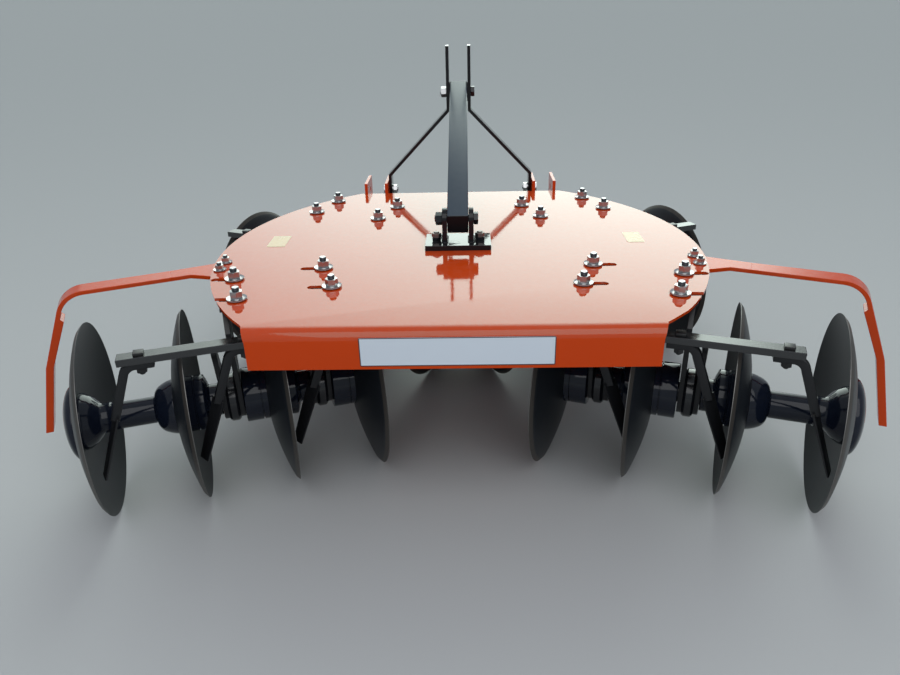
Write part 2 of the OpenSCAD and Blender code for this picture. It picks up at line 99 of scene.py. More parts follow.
def times(tree, first, second):
    """Multiplies two outputs, and gives the product's output."""
    product = tree.nodes.new("ShaderNodeMath")
    product.operation = "MULTIPLY"
    tree.links.new(first, product.inputs[0])
    tree.links.new(second, product.inputs[1])
    return product.outputs[0]


def along_way(tree, direction, way):
    """How far a direction agrees with a fixed one: their dot product's output."""
    compared = tree.nodes.new("ShaderNodeVectorMath")
    compared.operation = "DOT_PRODUCT"
    compared.inputs[1].default_value = way
    tree.links.new(direction, compared.inputs[0])
    return compared.outputs["Value"]


world = bpy.data.worlds.new("studio")
bpy.context.scene.world = world
world.use_nodes = True
sky = world.node_tree
direction = sky.nodes.new("ShaderNodeTexCoord").outputs["Generated"]
fade = node_of(sky, "ShaderNodeMapRange", From_Min=GLOW_EDGE)
sky.links.new(along_way(sky, direction, GLOW_AIM.normalized()), fade.inputs["Value"])
screen = node_of(sky, "ShaderNodeMapRange", From_Min=-GLOW_END_SOFT, From_Max=GLOW_END_SOFT)
screen.interpolation_type = "SMOOTHSTEP"
end_way = (-math.cos(GLOW_END), math.sin(GLOW_END), 0)
sky.links.new(along_way(sky, direction, end_way), screen.inputs["Value"])
blend = sky.nodes.new("ShaderNodeMix")
blend.data_type = "RGBA"
blend.clamp_result = False
blend.inputs["A"].default_value = SKY_COLOR
blend.inputs["B"].default_value = GLOW_COLOR
sky.links.new(times(sky, fade.outputs["Result"], screen.outputs["Result"]), blend.inputs["Factor"])
sky.links.new(blend.outputs["Result"], sky.nodes["Background"].inputs["Color"])

lamp = bpy.data.objects.new("overhead", bpy.data.lights.new("overhead", "AREA"))
bpy.context.scene.collection.objects.link(lamp)
lamp.data.size = LAMP_SIZE
lamp.data.energy = LAMP_WATTS
lamp.location = LAMP_PLACE
lamp.rotation_euler = (-Vector(LAMP_PLACE)).to_track_quat("-Z", "Y").to_euler()
lamp.visible_camera = False

FLOOR_COLOR = (0.50, 0.505, 0.51, 1)
floor_bm = bmesh.new()
bmesh.ops.create_grid(floor_bm, x_segments=1, y_segments=1, size=1000)
floor_mesh = bpy.data.meshes.new("floor")
floor_bm.to_mesh(floor_mesh)
floor = bpy.data.objects.new("floor", floor_mesh)
bpy.context.scene.collection.objects.link(floor)
floor_paint = bpy.data.materials.new("floor")
floor_paint.use_nodes = True
for key, value in {"Base Color": FLOOR_COLOR, "Roughness": 1.0, "Specular IOR Level": 0.0}.items():
    floor_paint.node_tree.nodes["Principled BSDF"].inputs[key].default_value = value
floor_mesh.materials.append(floor_paint)

# The deck: one steel plate with curved sides, folded down at the rear, sprayed a glossy orange-red.
# The spray has a fine orange peel and a little dust lies on it.
ORANGE = (0.57, 0.054, 0.006, 1)
DUST = (0.42, 0.39, 0.34, 1)
DUST_ROUGHNESS = 0.5
DECK_TINT = (0.1, 1, 0.95, 1)


def sprayed_coat_group():
    """Paint: blotches, orange peel, and dust where it faces up."""
    group = bpy.data.node_groups.new("Sprayed coat", "ShaderNodeTree")
    for name, kind, value in (
        ("Paint", "Color", ORANGE),
        ("Dust color", "Color", DUST),
        ("Dust", "Float", 0.1),
        ("Blotches", "Float", 0.1),
        ("Smooth", "Float", 0.1),
        ("Peel", "Float", 0.1),
        ("Peel size", "Float", 150.0),
    ):
        socket = group.interface.new_socket(name, in_out="INPUT", socket_type=f"NodeSocket{kind}")
        socket.default_value = value
    for name, kind in (("Color", "Color"), ("Roughness", "Float"), ("Normal", "Vector")):
        group.interface.new_socket(name, in_out="OUTPUT", socket_type=f"NodeSocket{kind}")
    into = group.nodes.new("NodeGroupInput")
    out = group.nodes.new("NodeGroupOutput")
    link = group.links.new
    place = group.nodes.new("ShaderNodeTexCoord")

    blotch = node_of(group, "ShaderNodeTexNoise", Scale=5.0, Detail=3.0)
    link(place.outputs["Object"], blotch.inputs["Vector"])
    swing = group.nodes.new("ShaderNodeMath")
    swing.operation = "MULTIPLY_ADD"
    link(blotch.outputs["Fac"], swing.inputs[0])
    link(into.outputs["Blotches"], swing.inputs[1])
    swing.inputs[2].default_value = 1.0
    shade = group.nodes.new("ShaderNodeVectorMath")
    shade.operation = "SCALE"
    link(into.outputs["Paint"], shade.inputs[0])
    link(swing.outputs[0], shade.inputs["Scale"])

    facing = group.nodes.new("ShaderNodeNewGeometry")
    split = group.nodes.new("ShaderNodeSeparateXYZ")
    link(facing.outputs["Normal"], split.inputs[0])
    upward = node_of(group, "ShaderNodeMapRange", From_Min=0.3, From_Max=1.0)
    link(split.outputs["Z"], upward.inputs["Value"])
    speck = node_of(group, "ShaderNodeTexNoise", Scale=38.0, Detail=8.0, Roughness=0.7)
    link(place.outputs["Object"], speck.inputs["Vector"])
    cloud = node_of(group, "ShaderNodeMapRange", From_Min=0.42, From_Max=0.74)
    link(speck.outputs["Fac"], cloud.inputs["Value"])
    dust = times(group, times(group, upward.outputs[0], cloud.outputs[0]), into.outputs["Dust"])
    mixed = group.nodes.new("ShaderNodeMix")
    mixed.data_type = "RGBA"
    link(dust, mixed.inputs["Factor"])
    link(shade.outputs[0], mixed.inputs["A"])
    link(into.outputs["Dust color"], mixed.inputs["B"])
    link(mixed.outputs["Result"], out.inputs["Color"])

    rough = group.nodes.new("ShaderNodeMath")
    rough.operation = "MULTIPLY_ADD"
    link(dust, rough.inputs[0])
    rough.inputs[1].default_value = DUST_ROUGHNESS
    link(into.outputs["Smooth"], rough.inputs[2])
    link(rough.outputs[0], out.inputs["Roughness"])

    peel = node_of(group, "ShaderNodeTexNoise", Detail=1.0)
    link(place.outputs["Object"], peel.inputs["Vector"])
    link(into.outputs["Peel size"], peel.inputs["Scale"])
    bump = node_of(group, "ShaderNodeBump", Distance=0.001)
    link(into.outputs["Peel"], bump.inputs["Strength"])
    link(peel.outputs["Fac"], bump.inputs["Height"])
    link(bump.outputs["Normal"], out.inputs["Normal"])
    return group


sprayed_coat = sprayed_coat_group()


def sprayed(name, color, smooth, peel=0.08, peel_size=150.0, dust=0.1, blotches=0.08, metal=0.0, ior=1.5,
            shine=0.5):
    """A painted finish: its colour, roughness, orange peel, dust and blotches, and how much it mirrors."""
    made = bpy.data.materials.new(name)
    made.use_nodes = True
    tree = made.node_tree
    shader = tree.nodes["Principled BSDF"]
    coat = tree.nodes.new("ShaderNodeGroup")
    coat.node_tree = sprayed_coat
    for key, value in (("Paint", color), ("Dust color", DUST), ("Dust", dust), ("Blotches", blotches),
                       ("Smooth", smooth), ("Peel", peel), ("Peel size", peel_size)):
        coat.inputs[key].default_value = value
    tree.links.new(coat.outputs["Color"], shader.inputs["Base Color"])
    tree.links.new(coat.outputs["Roughness"], shader.inputs["Roughness"])
    tree.links.new(coat.outputs["Normal"], shader.inputs["Normal"])
    for key, value in (("Metallic", metal), ("IOR", ior), ("Specular IOR Level", shine)):
        shader.inputs[key].default_value = value
    return made


deck_paint = sprayed("deck paint", ORANGE, 0.05, peel=0.05, peel_size=120.0, dust=0.06, blotches=0.06)
deck_paint.node_tree.nodes["Principled BSDF"].inputs["Specular Tint"].default_value = DECK_TINT
DECK_LOW, DECK_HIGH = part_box("deck")
DECK_TOP = DECK_HIGH.z


def piece(name, bm, body, slot, *materials, smooth=30.0):
    """Makes an object of a bmesh, with its finish, and lets it ride on a body of the harrow."""
    bmesh.ops.remove_doubles(bm, verts=bm.verts, dist=1e-5)
    bmesh.ops.recalc_face_normals(bm, faces=bm.faces)
    mesh = bpy.data.meshes.new(name)
    bm.to_mesh(mesh)
    bm.free()
    for material in materials:
        mesh.materials.append(material)
    mesh.shade_smooth()
    mesh.set_sharp_from_angle(angle=math.radians(smooth))
    made = bpy.data.objects.new(name, mesh)
    bpy.context.scene.collection.objects.link(made)
    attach(made, body)
    return made


# On the skirt lies a thin white plate with rounded corners and a dark rim line, stuck on and blank.
# Two small yellow stickers lie on the deck, blank too.
PLATE_LEFT, PLATE_RIGHT = -0.242, 0.247
PLATE_BOTTOM, PLATE_TOP = 0.521, 0.600
PLATE_T, PLATE_LINE = 0.0012, 0.0025
PLATE_WHITE = (0.66, 0.72, 0.80, 1)
PLATE_RIM = (0.03, 0.03, 0.035, 1)
STICKER_T, STICKER_LINE = 0.0004, 0.002
STICKERS = [(-0.600, 0.010, 0.060, 0.112), (0.575, 0.000, 0.055, 0.104)]
STICKER_YELLOW = (0.60, 0.41, 0.18, 1)
CARD_CORNER = 0.05


def thin_card(bm, place, width, height, thick, rim, rim_material):
    """A thin card with rounded corners and a rim line in another colour."""
    before = set(bm.verts)
    block = bmesh.ops.create_cube(bm, size=1)["verts"]
    bmesh.ops.scale(bm, vec=(width, height, thick), verts=block)
    uprights = [e for e in {e for v in block for e in v.link_edges} if e.verts[0].co.z * e.verts[1].co.z < 0]
    bmesh.ops.bevel(bm, geom=uprights, offset=height * CARD_CORNER, affect="EDGES", segments=4, profile=0.5,
                    material=-1)
    made = [v for v in bm.verts if v not in before]
    front = [f for f in {f for v in made for f in v.link_faces} if all(v.co.z > 0 for v in f.verts)]
    for face in bmesh.ops.inset_region(bm, faces=front, thickness=rim, use_even_offset=True)["faces"]:
        face.material_index = rim_material
    bmesh.ops.transform(bm, matrix=place, verts=[v for v in bm.verts if v not in before])


plate_white = sprayed("plate white", PLATE_WHITE, 0.35, peel=0.0, dust=0.12, blotches=0.03)
plate_rim = sprayed("plate rim", PLATE_RIM, 0.35, peel=0.0)
plate_bm = bmesh.new()
plate_middle = ((PLATE_LEFT + PLATE_RIGHT) / 2, DECK_LOW.y - PLATE_T / 2, (PLATE_BOTTOM + PLATE_TOP) / 2)
thin_card(
    plate_bm,
    Matrix.Translation(plate_middle) @ Matrix.Rotation(QUARTER, 4, "X"),
    PLATE_RIGHT - PLATE_LEFT, PLATE_TOP - PLATE_BOTTOM, PLATE_T, PLATE_LINE, 1,
)
piece("name_plate", plate_bm, "frame", None, plate_white, plate_rim)

sticker_yellow = sprayed("sticker yellow", STICKER_YELLOW, 0.25, peel=0.0)
sticker_bm = bmesh.new()
for x, y, width, height in STICKERS:
    on_deck = Matrix.Translation((x, y, DECK_TOP + STICKER_T))
    thin_card(sticker_bm, on_deck, width, height, STICKER_T, STICKER_LINE, 0)
piece("blank_stickers", sticker_bm, "frame", None, sticker_yellow)

# The deck bolts: each hanger hangs from two big bolts and each guard from two small ones. On the deck every
# bolt has a wide dished washer, a spring washer, a nut and a short stud end.
# All are bright zinc but the dark stud end.
ZINC = (0.47, 0.47, 0.475, 1)
STUD_DARK = (0.055, 0.057, 0.065, 1)
PITCH = 0.260
HANGER_BOLT_ALONG = 0.032
HANGER_BOLT_BACK = 0.079
BEARING_GAPS = {"front": (-1, 0), "rear": (0, 1)}
GUARD_BOLTS = [(0.719, -0.191), (0.718, -0.256)]
SIDES = {"left": -1, "right": 1}
WASHER_OUTLINE = [(0.0128, 0.0002), (0.021, 0.0003), (0.0275, 0.0014), (0.0320, 0.0042), (0.0316, 0.0074),
                  (0.0268, 0.0046), (0.0205, 0.0035), (0.0128, 0.0034)]
SPRING_OUTLINE = [(0.0128, 0.0036), (0.0192, 0.0036), (0.0192, 0.0086), (0.0128, 0.0086)]
SPRING_TURN = math.radians(352)
NUT_FROM, NUT_TO, NUT_FLATS, NUT_BEVEL = 0.0089, 0.0305, 0.036, math.radians(28)
NUT_FACE, NUT_CORNER = 0.485, 1.02
HEAD_H = 0.0144
STUD_TO, STUD_R, STUD_TIP, THREAD_PITCH, THREAD_DEPTH = 0.0430, 0.0120, 0.0009, 0.003, 0.0013
BIG, SMALL = 0.88, 0.60


def gang_place(row, side):
    """The gang's own frame: X along its axle the way the discs face, Y to the rear, Z up from the ground."""
    spin = next(j for j in frame["joints"] if j["name"] == f"{row}_gang_{side}_spin")
    along = Vector(spin["axis"]).normalized()
    back = Vector((along.y * math.copysign(1, along.x), -abs(along.x), 0))
    place = Matrix.Identity(4)
    for column, axis in enumerate((along, back, Vector((0, 0, 1)))):
        for line in range(3):
            place[line][column] = axis[line]
    place.translation = (spin["pos_m"][0], spin["pos_m"][1], 0)
    return place


def lathe(outline, closed=True, turn=math.tau, rise=0.0, steps=32, material=0):
    """Turns an outline of radii and heights about Z. An open outline starts and ends on the axis."""
    bm = bmesh.new()
    verts = [bm.verts.new((r, 0, h)) for r, h in outline]
    if turn < math.tau:
        geom = verts + [bm.faces.new(verts)]
    else:
        geom = verts + [bm.edges.new(pair) for pair in zip(verts, verts[1:] + verts[: 1 if closed else 0])]
    bmesh.ops.spin(bm, geom=geom, cent=(0, 0, 0), axis=(0, 0, 1), dvec=(0, 0, rise / steps), angle=turn,
                   steps=steps, use_merge=turn == math.tau)
    bmesh.ops.remove_doubles(bm, verts=bm.verts, dist=1e-6)
    for face in bm.faces:
        face.material_index = material
    return bm


def hex_piece(low, high, flats, material=0):
    """A hexagon nut or head: a turned blank with coned ends, cut to six flats."""
    face_r, corner = flats * NUT_FACE, flats / 2 / math.cos(math.radians(30)) * NUT_CORNER
    drop = (corner - face_r) * math.tan(NUT_BEVEL)
    outline = [(0, low), (face_r, low), (corner, low + drop),
               (corner, high - drop), (face_r, high), (0, high)]
    bm = lathe(outline, closed=False, steps=48, material=material)
    for i in range(6):
        way = Vector((math.cos(math.radians(60 * i)), math.sin(math.radians(60 * i)), 0))
        everything = bm.verts[:] + bm.edges[:] + bm.faces[:]
        cut = bmesh.ops.bisect_plane(bm, geom=everything, plane_co=way * flats / 2, plane_no=way,
                                     clear_outer=True)["geom_cut"]
        edges = [g for g in cut if isinstance(g, bmesh.types.BMEdge)]
        for face in bmesh.ops.holes_fill(bm, edges=edges, sides=0)["faces"]:
            face.material_index = material
    return bm


def add_part(bm, part, place=Matrix.Identity(4)):
    """Copies a part's bmesh into another one, at a place."""
    mesh = bpy.data.meshes.new("part")
    part.to_mesh(mesh)
    before = len(bm.verts)
    bm.from_mesh(mesh)
    bpy.data.meshes.remove(mesh)
    bm.verts.ensure_lookup_table()
    bmesh.ops.transform(bm, matrix=place, verts=bm.verts[before:])


def thread_outline(radius, low, high, pitch, depth):
    """Half the outline of a threaded stud end with a coned tip, from the axis to the axis."""
    count = int((high - low) / pitch * 2) - 1
    ridges = [(radius - depth * (i % 2), low + i * pitch / 2) for i in range(count)]
    return [(0, low)] + ridges + [(radius - depth, high - pitch * 0.4), (radius * 0.8, high), (0, high)]


def fastening(grip, scale):
    """A bolt's washer, spring washer, nut and stud end on the deck, and its head below what it clamps."""
    part = bmesh.new()
    add_part(part, lathe(WASHER_OUTLINE, steps=48))
    add_part(part, lathe(SPRING_OUTLINE, turn=SPRING_TURN, rise=0.0006, steps=40))
    add_part(part, hex_piece(NUT_FROM, NUT_TO, NUT_FLATS))
    stud_outline = thread_outline(STUD_R, NUT_TO - 0.001, STUD_TO, THREAD_PITCH, THREAD_DEPTH)
    stud = lathe(stud_outline, closed=False, material=1)
    for face in stud.faces:
        if face.calc_center_median().z > STUD_TO - STUD_TIP:
            face.material_index = 0
    add_part(part, stud)
    bmesh.ops.scale(part, vec=(scale,) * 3, verts=part.verts)
    shank = [(0, -grip), (STUD_R * scale, -grip), (STUD_R * scale, NUT_FROM * scale), (0, NUT_FROM * scale)]
    add_part(part, lathe(shank, closed=False, steps=24))
    add_part(part, hex_piece(-grip - HEAD_H * scale, -grip, NUT_FLATS * scale))
    return part


zinc = sprayed("zinc", ZINC, 0.28, peel=0.03, peel_size=300.0, dust=0.12, blotches=0.2, metal=1.0)
stud_dark = sprayed("stud dark", STUD_DARK, 0.35, peel=0.0, dust=0.1, metal=0.6)
turns = random.Random(5)
HANGER_GRIP, GUARD_GRIP = 0.018, 0.020
hanger_fastening = fastening(HANGER_GRIP, BIG)
guard_fastening = fastening(GUARD_GRIP, SMALL)


def any_turn():
    """A turn about Z by chance, because no two nuts stop alike."""
    return Matrix.Rotation(turns.uniform(0, 6), 4, "Z")


def hanger_fastenings(bm, row, side):
    """The four bolts of a gang's two hangers."""
    place = gang_place(row, side)
    for gap in BEARING_GAPS[row]:
        for end in (-1, 1):
            spot = place @ Vector((gap * PITCH + HANGER_BOLT_ALONG, end * HANGER_BOLT_BACK, DECK_TOP))
            add_part(bm, hanger_fastening, Matrix.Translation(spot) @ any_turn())


frame_fastenings = bmesh.new()
for side, sign in SIDES.items():
    hanger_fastenings(frame_fastenings, "front", side)
    for x, y in GUARD_BOLTS:
        add_part(frame_fastenings, guard_fastening, Matrix.Translation((sign * x, y, DECK_TOP)))
    rear_fastenings = bmesh.new()
    hanger_fastenings(rear_fastenings, "rear", side)
    rear_fastened = piece(f"rear_fastenings_{side}", rear_fastenings, f"rear_frame_{side}", "zinc",
                          zinc, stud_dark)
    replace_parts(rear_fastened, f"rear_bolts_{side}")

# The mast base is bolted through the deck with two bolts, one outside each ear. Each has a dark nut on the
# plate and a dull zinc one locked on it, and its dark head is under the deck.
MAST_Y = -0.046
BASE_BOLT_X = 0.070
BASE_FLATS, BASE_NUT_TURN = 0.027, 0.4
LOWER_NUT, LOCK_NUT, BASE_HEAD = (0.0002, 0.0090), (0.0092, 0.0230), (-0.0371, -0.0251)
BASE_STUD = [(0, 0.0225), (0.009, 0.0225), (0.009, 0.0255), (0.007, 0.0270), (0, 0.0270)]
BASE_T = 0.017
BASE_TOP = DECK_TOP + BASE_T
BLACK_ZINC = (0.012, 0.013, 0.016, 1)
black_zinc = sprayed("black zinc", BLACK_ZINC, 0.26, peel=0.03, dust=0.08, metal=0.3)
DULL_ZINC = (0.21, 0.18, 0.17, 1)
dull_zinc = sprayed("dull zinc", DULL_ZINC, 0.34, peel=0.03, dust=0.08, metal=0.9)
for x in (-BASE_BOLT_X, BASE_BOLT_X):
    spot = Matrix.Translation((x, MAST_Y, BASE_TOP)) @ any_turn()
    turned_nut = Matrix.Rotation(BASE_NUT_TURN, 4, "Z")
    add_part(frame_fastenings, hex_piece(*LOWER_NUT, BASE_FLATS, material=2), spot)
    add_part(frame_fastenings, hex_piece(*LOCK_NUT, BASE_FLATS, material=3), spot @ turned_nut)
    add_part(frame_fastenings, lathe(BASE_STUD, closed=False, material=3), spot)
    add_part(frame_fastenings, hex_piece(*BASE_HEAD, BASE_FLATS, material=2), spot)
deck_fastened = piece("deck_fastenings", frame_fastenings, "frame", "zinc",
                      zinc, stud_dark, black_zinc, dull_zinc)
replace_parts(deck_fastened, "deck_bolts")

# The cut and folded steel parts have edges that are lightly rounded by grinding and paint. The deck comes
# first, with its wide fold and a flat skirt whose copy of the paint mirrors less, as painted shade, then the
# hitch brackets at its front edge, whose orange carries more dust.


def eased(node, body, slot, material, width, reshape=None):
    """A copy of a CAD node in which every hard edge is eased, in the node's place."""
    bm = bmesh.new()
    bm.from_mesh(frame["nodes"][node].data)
    bmesh.ops.remove_doubles(bm, verts=bm.verts, dist=1e-5)
    if reshape:
        reshape(bm)
    bmesh.ops.dissolve_limit(bm, angle_limit=math.radians(0.5), verts=bm.verts, edges=bm.edges)
    hard = [e for e in bm.edges if len(e.link_faces) == 2 and e.calc_face_angle(0) > math.radians(25)]
    bmesh.ops.bevel(bm, geom=hard, offset=width, segments=2, profile=0.5, affect="EDGES", clamp_overlap=True,
                    material=-1)
    made = piece(f"{node}_steel", bm, body, slot, material, smooth=16.0)
    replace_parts(made, node)
    return made


FOLD_R, WIDE_FOLD_R = 0.018, 0.032
SKIRT_HALF = 0.524
FOLD_START, SKIRT_SIDE = {-1: 0.541, 1: 0.525}, {-1: 0.529, 1: 0.512}
RIGHT_RIM = [(-0.6183, 0.5660), (-0.6462, 0.5385)]


def widen_fold(bm):
    """Widens the fold to a pressed plate's radius, and runs the deck's slanted sides on through it."""
    for vert in bm.verts:
        back, up = vert.co.y - DECK_LOW.y - FOLD_R, vert.co.z - DECK_TOP + FOLD_R
        for y, x in RIGHT_RIM:
            if vert.co.x > SKIRT_HALF and abs(vert.co.y - y) < 0.0005:
                vert.co.x = x
        if back < 1e-5 and abs(vert.co.x) > SKIRT_HALF - 0.001:
            side = math.copysign(1, vert.co.x)
            past = math.atan2(max(-back, 0), max(up, 0)) / QUARTER
            vert.co.x *= (FOLD_START[side] + (SKIRT_SIDE[side] - FOLD_START[side]) * past) / SKIRT_HALF
        if back < 1e-5 and up > -1e-5:
            spread = 1 + (WIDE_FOLD_R - FOLD_R) / math.hypot(back, up)
            vert.co.y = DECK_LOW.y + WIDE_FOLD_R + back * spread
            vert.co.z = DECK_TOP - WIDE_FOLD_R + up * spread


deck = eased("deck", "frame", "deck_paint", deck_paint, 0.0012, widen_fold)
# The flat skirt gets a rougher copy of the orange that mirrors less: painted shade, so it reads darker than
# the top.
skirt_painted_shade = sprayed("skirt painted shade", ORANGE, 0.12, peel=0.05, peel_size=120.0, dust=0.06, blotches=0.06,
                      shine=0.12)
deck.data.materials.append(skirt_painted_shade)
for face in deck.data.polygons:
    if face.normal.y < -0.99 and face.center.y < DECK_LOW.y + 0.001:
        face.material_index = 1
guard_paint = sprayed("guard paint", ORANGE, 0.14, peel=0.08, dust=0.12, blotches=0.1, ior=1.29)
for side in SIDES:
    eased(f"hitch_bracket_{side}", "frame", "orange_paint", guard_paint, 0.0010)

# Each side guard is a flat bar: a root plate under the deck, an arm, a wide bend, and a splayed leg of
# thicker bar that is welded on below the bend.
GUARD_AT = (1.145, -0.382, DECK_TOP - 0.008)
GUARD_TURN, GUARD_SPLAY, GUARD_TOE = math.radians(-23.5), math.radians(22), math.radians(13.5)
GUARD_W, GUARD_T, LEG_T = 0.064, 0.012, 0.020
GUARD_BEND_R, GUARD_JOINT, GUARD_KNEE, GUARD_LEG = 0.085, 0.076, 0.222, 0.434
GUARD_ARM, JOINT_SLOPE = -0.301, 0.010
GUARD_ROOT = [(-0.490, -0.040), (-0.458, -0.098), (-0.426, -0.082), (-0.356, -0.032), (-0.300, -0.032),
              (-0.300, 0.032), (-0.460, 0.040), (-0.490, 0.040)]


def slab(outline, thick):
    """A flat cut plate: its outline in X and Y, and its thickness up from zero, with eased edges."""
    bm = bmesh.new()
    face = bm.faces.new([bm.verts.new((x, y, 0)) for x, y in outline])
    far_side = bmesh.ops.extrude_face_region(bm, geom=[face])["geom"]
    lifted = [v for v in far_side if isinstance(v, bmesh.types.BMVert)]
    bmesh.ops.translate(bm, vec=(0, 0, thick), verts=lifted)
    hard = [e for e in bm.edges if len(e.link_faces) == 2 and e.calc_face_angle(0) > math.radians(30)]
    bmesh.ops.bevel(bm, geom=hard, offset=0.0015, segments=2, profile=0.5, affect="EDGES", material=-1)
    return bm


def arc(centre, radius, start, stop, steps=12, grow=0.0):
    """Points on an arc, whose radius may grow along it."""
    points = []
    for k in range(steps + 1):
        part = k / steps
        angle, r = start + (stop - start) * part, radius + grow * part
        points.append((centre[0] + r * math.cos(angle), centre[1] + r * math.sin(angle)))
    return points


middle = (-GUARD_BEND_R * math.tan((QUARTER - GUARD_SPLAY) / 2), -GUARD_BEND_R)
splay_out = math.tan(GUARD_SPLAY)
thin, thick = GUARD_T / math.cos(GUARD_SPLAY), LEG_T / math.cos(GUARD_SPLAY)
knee = (GUARD_KNEE * splay_out, -GUARD_KNEE)
foot_x = knee[0] + math.tan(GUARD_TOE) * (GUARD_LEG - GUARD_KNEE)
guard_side = [
    (GUARD_ARM, 0),
    *arc(middle, GUARD_BEND_R, QUARTER, GUARD_SPLAY),
    knee,
    (foot_x, -GUARD_LEG),
    (foot_x - thick, -GUARD_LEG),
    (knee[0] - thick, knee[1]),
    (GUARD_JOINT * splay_out - thick, -GUARD_JOINT - JOINT_SLOPE),
    (GUARD_JOINT * splay_out - thin, -GUARD_JOINT),
    *arc(middle, GUARD_BEND_R - GUARD_T, GUARD_SPLAY, QUARTER),
    (GUARD_ARM, -GUARD_T),
]
for side, sign in SIDES.items():
    guard_bm = bmesh.new()
    mirrored = Matrix.Diagonal((sign, 1, 1, 1))
    at_guard = mirrored @ Matrix.Translation(GUARD_AT) @ Matrix.Rotation(GUARD_TURN, 4, "Z")
    add_part(guard_bm, slab(GUARD_ROOT, GUARD_T), at_guard @ Matrix.Translation((0, 0, -GUARD_T)))
    add_part(guard_bm, slab(guard_side, GUARD_W), at_guard @ Matrix.Translation((0, GUARD_W / 2, 0))
             @ Matrix.Rotation(QUARTER, 4, "X"))
    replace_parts(piece(f"side_guard_{side}", guard_bm, "frame", "orange_paint", guard_paint, smooth=16.0),
                f"guard_{side}")

# The A-frame's bent bars and the mast base are flat steel in glossy black. The base's ears are welded to its
# plate, whose top is still bright enough to mirror the sky.
GLOSS_BLACK = (0.010, 0.010, 0.012, 1)
EAR_OUTER, EAR_INNER, EAR_HALF = 0.050, 0.0345, 0.034
SOURCE_T, SOURCE_EAR, LONGER = 0.012, 0.032, 0.003
WELD_R, WELD_STEP = 0.0035, 0.9
gloss_black = sprayed("gloss black", GLOSS_BLACK, 0.12, peel=0.06, dust=0.03, ior=1.36)
mirror_black = sprayed("mirror black", GLOSS_BLACK, 0.05, peel=0.12, peel_size=90.0, dust=0.03, ior=1.9)
for side in SIDES:
    eased(f"a_bar_{side}", "frame", "black_paint", gloss_black, 0.0014)


def shape_base(bm):
    """Sets the ears' inner faces further apart, and makes the plate thicker and longer at the back."""
    rear = min(vert.co.y for vert in bm.verts)
    for vert in bm.verts:
        if abs(vert.co.y - rear) < 0.0002:
            vert.co.y -= LONGER
        if abs(vert.co.z - DECK_TOP - SOURCE_T) < 0.0002:
            vert.co.z = BASE_TOP
        if vert.co.z > BASE_TOP - 0.0001 and abs(abs(vert.co.x) - SOURCE_EAR) < 0.0002:
            vert.co.x = math.copysign(EAR_INNER, vert.co.x)


mast_base = eased("mast_base", "frame", "black_paint", gloss_black, 0.0014, shape_base)
mast_base.data.materials.append(mirror_black)
for face in mast_base.data.polygons:
    if face.normal.z > 0.9 and face.center.z < BASE_TOP + 0.001:
        face.material_index = 1


def weld_bead(start, end, radius):
    """A run of weld: small overlapping scales along a line."""
    start, end = Vector(start), Vector(end)
    bm = bmesh.new()
    for i in range(max(int((end - start).length / (radius * WELD_STEP)), 2)):
        scale = bmesh.new()
        bmesh.ops.create_uvsphere(scale, u_segments=8, v_segments=5, radius=radius)
        far = (end - start).normalized() * radius * WELD_STEP * i
        add_part(bm, scale, Matrix.Translation(start + far))
    return bm


weld_bm = bmesh.new()
for sign in (-1, 1):
    for x in (EAR_OUTER, EAR_INNER):
        ends = [(sign * x, MAST_Y + end * EAR_HALF, BASE_TOP) for end in (-1, 1)]
        add_part(weld_bm, weld_bead(*ends, WELD_R))
piece("mast_welds", weld_bm, "frame", "black_paint", gloss_black, smooth=60.0)

# The strut is a square tube in slate grey with rounded edges and a cheek on each side of its upper end.
# A thin black plate on its lower end is painted shade for the tube's dark lower end.
SLATE = (0.048, 0.064, 0.085, 1)
STRUT_W, STRUT_LONGER, STRUT_BACK = 0.0672, 0.054, 0.003
CHEEKS, CHEEKS_BACK = (0.0718, 0.052, 0.056), 0.002
END_SHADE_T, END_SHADE_AT = 0.003, -0.0310
STRUT_LOW = Vector((0, MAST_Y, 0.707))
STRUT_TOP = Vector((0, 0.699, 1.0))
slate_paint = sprayed("slate paint", SLATE, 0.30, peel=0.06, dust=0.03, blotches=0.06, ior=1.38)
# Black for the cheeks, and painted shade for the thin plate on the strut's lower end.
BLACK_AND_END_SHADE = (0.006, 0.006, 0.008, 1)
black_and_end_shade = sprayed("black and end shade", BLACK_AND_END_SHADE, 0.5, peel=0.02, dust=0.1, ior=1.3)
run = (STRUT_TOP - STRUT_LOW).length
along_strut = Matrix.Translation(STRUT_LOW) @ Matrix.Rotation(
    math.atan2(STRUT_TOP.z - STRUT_LOW.z, STRUT_TOP.y - STRUT_LOW.y), 4, "X")


def eased_block(size, centre, bevel, material=0):
    """A block with rounded edges, about a centre."""
    bm = bmesh.new()
    made = bmesh.ops.create_cube(bm, size=1)["verts"]
    bmesh.ops.scale(bm, vec=size, verts=made)
    bmesh.ops.bevel(bm, geom=bm.edges[:], offset=bevel, segments=3, profile=0.5, affect="EDGES", material=-1)
    bmesh.ops.translate(bm, vec=centre, verts=bm.verts)
    for face in bm.faces:
        face.material_index = material
    return bm


strut_bm = bmesh.new()
for size, centre, bevel, finish in (
    ((STRUT_W, run + STRUT_LONGER, STRUT_W), run / 2 - STRUT_BACK, 0.005, 0),
    (CHEEKS, run - CHEEKS_BACK, 0.002, 1),
    # The thin black plate: painted shade on the strut's lower end.
    ((STRUT_W - 0.001, END_SHADE_T, STRUT_W - 0.001), END_SHADE_AT, 0.001, 1),
):
    add_part(strut_bm, eased_block(size, (0, centre, 0), bevel, finish), along_strut)
strut = piece("strut_tube", strut_bm, "frame", "slate_paint", slate_paint, black_and_end_shade, smooth=40.0)
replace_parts(strut, "mast_strut")

